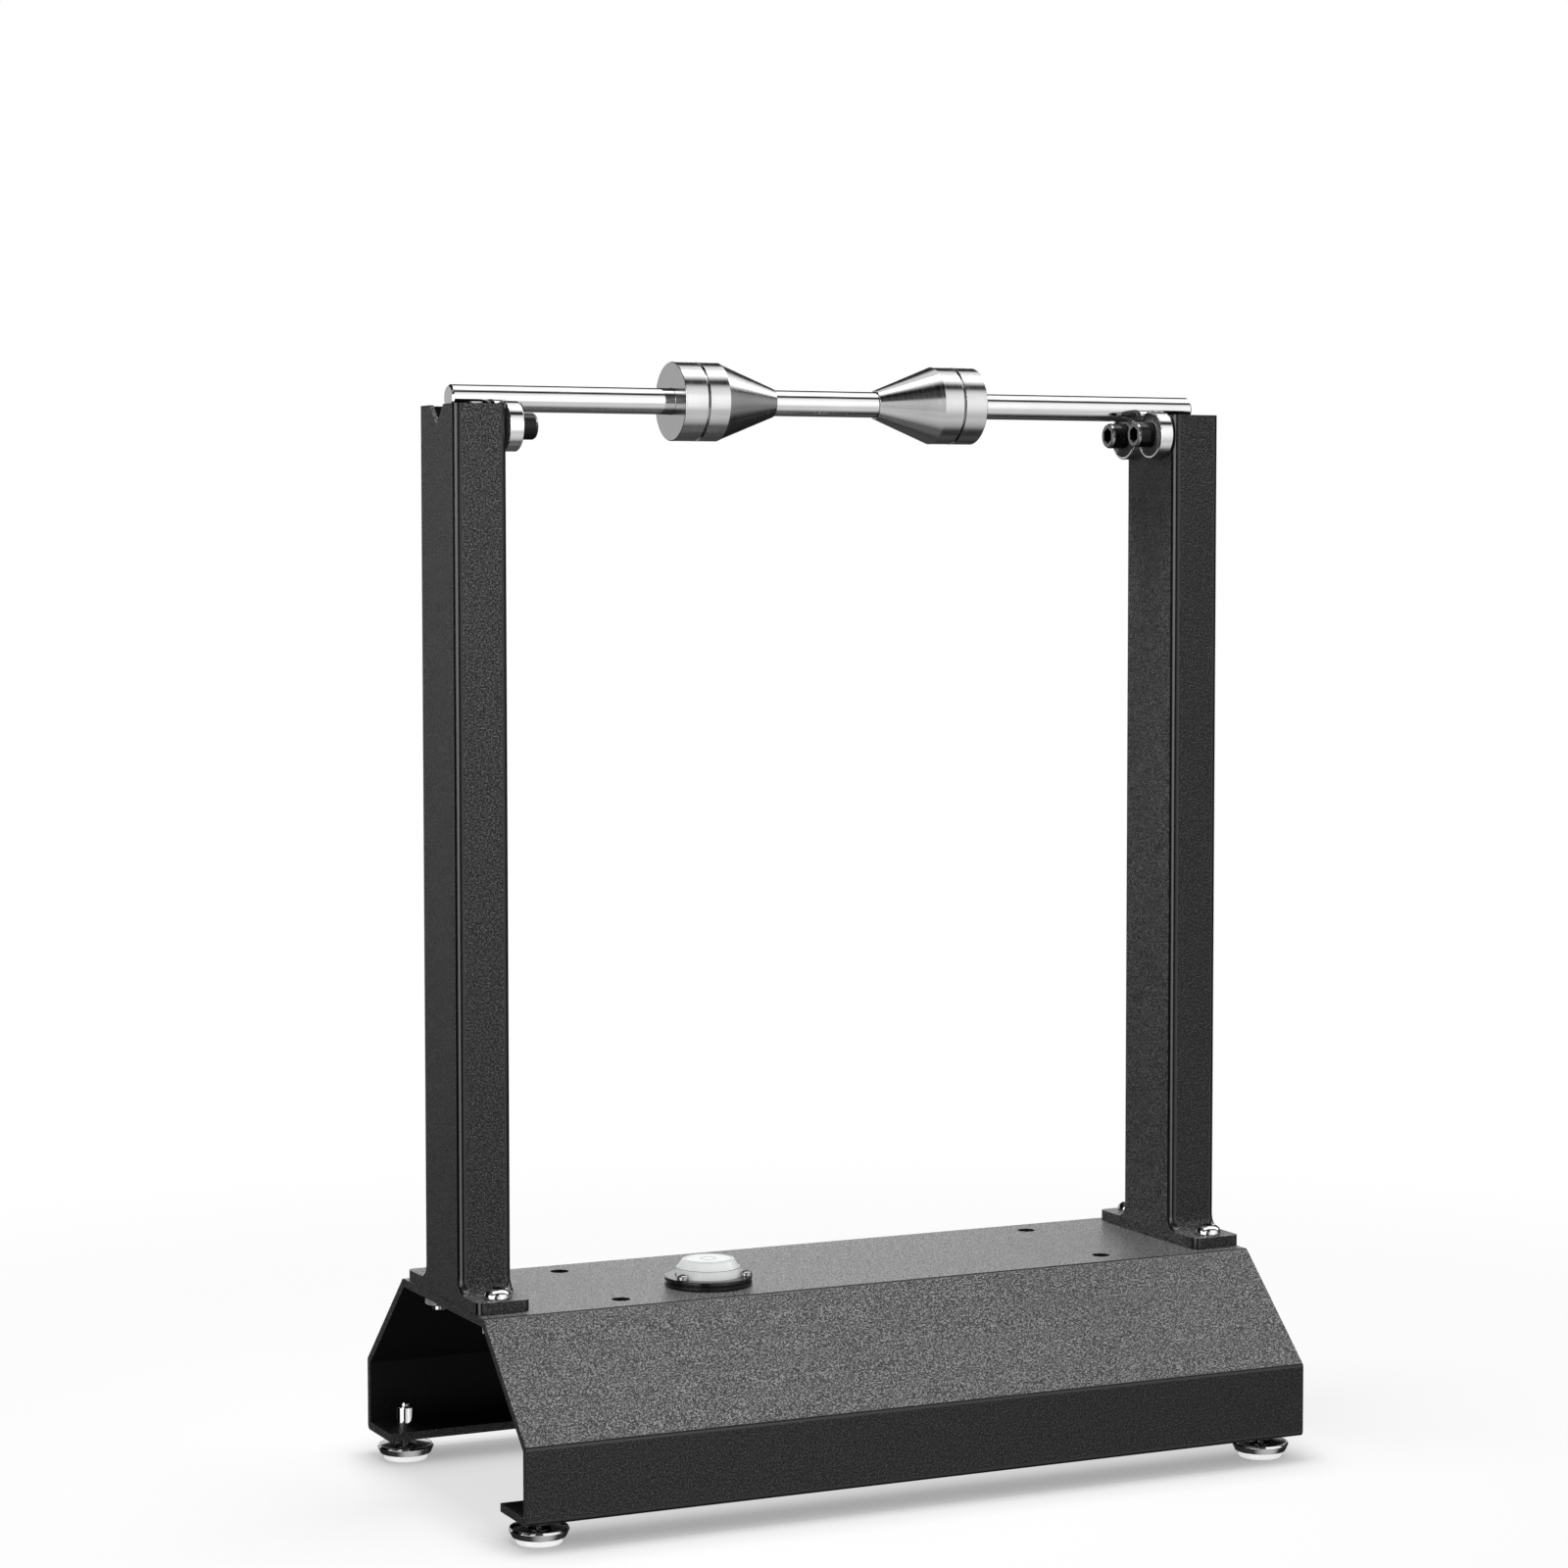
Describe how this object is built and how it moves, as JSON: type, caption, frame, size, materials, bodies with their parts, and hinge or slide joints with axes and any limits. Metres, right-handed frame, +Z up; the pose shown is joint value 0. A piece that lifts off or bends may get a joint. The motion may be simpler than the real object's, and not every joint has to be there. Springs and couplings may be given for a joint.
{
  "type": "motorcycle wheel balancer",
  "caption": "Bench stand for static wheel balancing: folded steel base on levelling feet, hollow posts with ball bearings, and a shaft with sliding centring cones.",
  "frame": {"origin": "on the floor under the middle of the base", "axes": "+Z up, X along the shaft and the base, with the level towards -X and -Y, which is the front"},
  "size_m": [0.4144, 0.216, 0.5416],
  "materials": {
    "powder_coat": "black fine-textured powder coat on steel",
    "bright_steel": "polished",
    "brushed_steel": "turned, with fine marks round the axis",
    "zinc_steel": "dull zinc plate",
    "black_oxide": "black oxide on steel, satin",
    "seal": "matt dark seal",
    "nylon": "natural nylon",
    "black_plastic": "satin moulded",
    "clear_plastic": "clear moulded"
  },
  "bodies": {
    "stand": {"base_channel": "powder_coat", "left_post": "powder_coat", "right_post": "powder_coat", "left_front_post_bolt": "bright_steel", "left_rear_post_bolt": "bright_steel", "right_front_post_bolt": "bright_steel", "right_rear_post_bolt": "bright_steel", "left_front_post_nut": "zinc_steel", "left_rear_post_nut": "zinc_steel", "right_front_post_nut": "zinc_steel", "right_rear_post_nut": "zinc_steel", "left_front_foot_insert": "bright_steel", "left_rear_foot_insert": "bright_steel", "right_front_foot_insert": "bright_steel", "right_rear_foot_insert": "bright_steel", "left_front_bearing_screw": "black_oxide", "left_rear_bearing_screw": "black_oxide", "right_front_bearing_screw": "black_oxide", "right_rear_bearing_screw": "black_oxide", "left_front_bearing_spacer": "zinc_steel", "left_rear_bearing_spacer": "zinc_steel", "right_front_bearing_spacer": "zinc_steel", "right_rear_bearing_spacer": "zinc_steel", "left_front_bearing_nut": "zinc_steel", "left_rear_bearing_nut": "zinc_steel", "right_front_bearing_nut": "zinc_steel", "right_rear_bearing_nut": "zinc_steel", "left_front_bearing_inner_ring": "bright_steel", "left_rear_bearing_inner_ring": "bright_steel", "right_front_bearing_inner_ring": "bright_steel", "right_rear_bearing_inner_ring": "bright_steel", "level_flange": "black_plastic", "level_vial": "clear_plastic", "level_plug": "clear_plastic", "level_screw_1": "bright_steel", "level_screw_2": "bright_steel", "level_screw_3": "bright_steel"},
    "shaft": {"shaft": "bright_steel"},
    "left_cone_set": {"left_cone": "brushed_steel", "left_collar": "brushed_steel", "left_grub_screw": "black_oxide"},
    "right_cone_set": {"right_cone": "brushed_steel", "right_collar": "brushed_steel", "right_grub_screw": "black_oxide"},
    "left_front_ring": {"left_front_bearing_outer_ring": "bright_steel", "left_front_bearing_ball_pack": "seal"},
    "left_rear_ring": {"left_rear_bearing_outer_ring": "bright_steel", "left_rear_bearing_ball_pack": "seal"},
    "right_front_ring": {"right_front_bearing_outer_ring": "bright_steel", "right_front_bearing_ball_pack": "seal"},
    "right_rear_ring": {"right_rear_bearing_outer_ring": "bright_steel", "right_rear_bearing_ball_pack": "seal"},
    "left_front_foot": {"left_front_levelling_foot": "bright_steel", "left_front_foot_pad": "nylon"},
    "left_rear_foot": {"left_rear_levelling_foot": "bright_steel", "left_rear_foot_pad": "nylon"},
    "right_front_foot": {"right_front_levelling_foot": "bright_steel", "right_front_foot_pad": "nylon"},
    "right_rear_foot": {"right_rear_levelling_foot": "bright_steel", "right_rear_foot_pad": "nylon"}
  },
  "joints": [
    {"name": "shaft_spin", "type": "hinge", "parent": "stand", "child": "shaft", "pos_m": [0, 0, 0.52257], "axis": [1, 0, 0], "continuous": true},
    {"name": "left_cone_slide", "type": "slide", "parent": "shaft", "child": "left_cone_set", "axis": [1, 0, 0], "range_m": [-0.0746, 0.033]},
    {"name": "right_cone_slide", "type": "slide", "parent": "shaft", "child": "right_cone_set", "axis": [1, 0, 0], "range_m": [-0.022, 0.0856]},
    {"name": "left_front_ring_spin", "type": "hinge", "parent": "stand", "child": "left_front_ring", "pos_m": [-0.1755, -0.0131, 0.5093], "axis": [1, 0, 0], "continuous": true},
    {"name": "left_rear_ring_spin", "type": "hinge", "parent": "stand", "child": "left_rear_ring", "pos_m": [-0.1755, 0.0131, 0.5093], "axis": [1, 0, 0], "continuous": true},
    {"name": "right_front_ring_spin", "type": "hinge", "parent": "stand", "child": "right_front_ring", "pos_m": [0.1755, -0.0131, 0.5093], "axis": [1, 0, 0], "continuous": true},
    {"name": "right_rear_ring_spin", "type": "hinge", "parent": "stand", "child": "right_rear_ring", "pos_m": [0.1755, 0.0131, 0.5093], "axis": [1, 0, 0], "continuous": true},
    {"name": "left_front_foot_screw", "type": "slide", "parent": "stand", "child": "left_front_foot", "axis": [0, 0, 1], "range_m": [-0.01, 0.0015]},
    {"name": "left_rear_foot_screw", "type": "slide", "parent": "stand", "child": "left_rear_foot", "axis": [0, 0, 1], "range_m": [-0.01, 0.0015]},
    {"name": "right_front_foot_screw", "type": "slide", "parent": "stand", "child": "right_front_foot", "axis": [0, 0, 1], "range_m": [-0.01, 0.0015]},
    {"name": "right_rear_foot_screw", "type": "slide", "parent": "stand", "child": "right_rear_foot", "axis": [0, 0, 1], "range_m": [-0.01, 0.0015]}
  ],
  "couplings": [
    {"joint": "left_front_ring_spin", "follows": "shaft_spin", "ratio": -0.52917},
    {"joint": "left_rear_ring_spin", "follows": "shaft_spin", "ratio": -0.52917},
    {"joint": "right_front_ring_spin", "follows": "shaft_spin", "ratio": -0.52917},
    {"joint": "right_rear_ring_spin", "follows": "shaft_spin", "ratio": -0.52917}
  ]
}
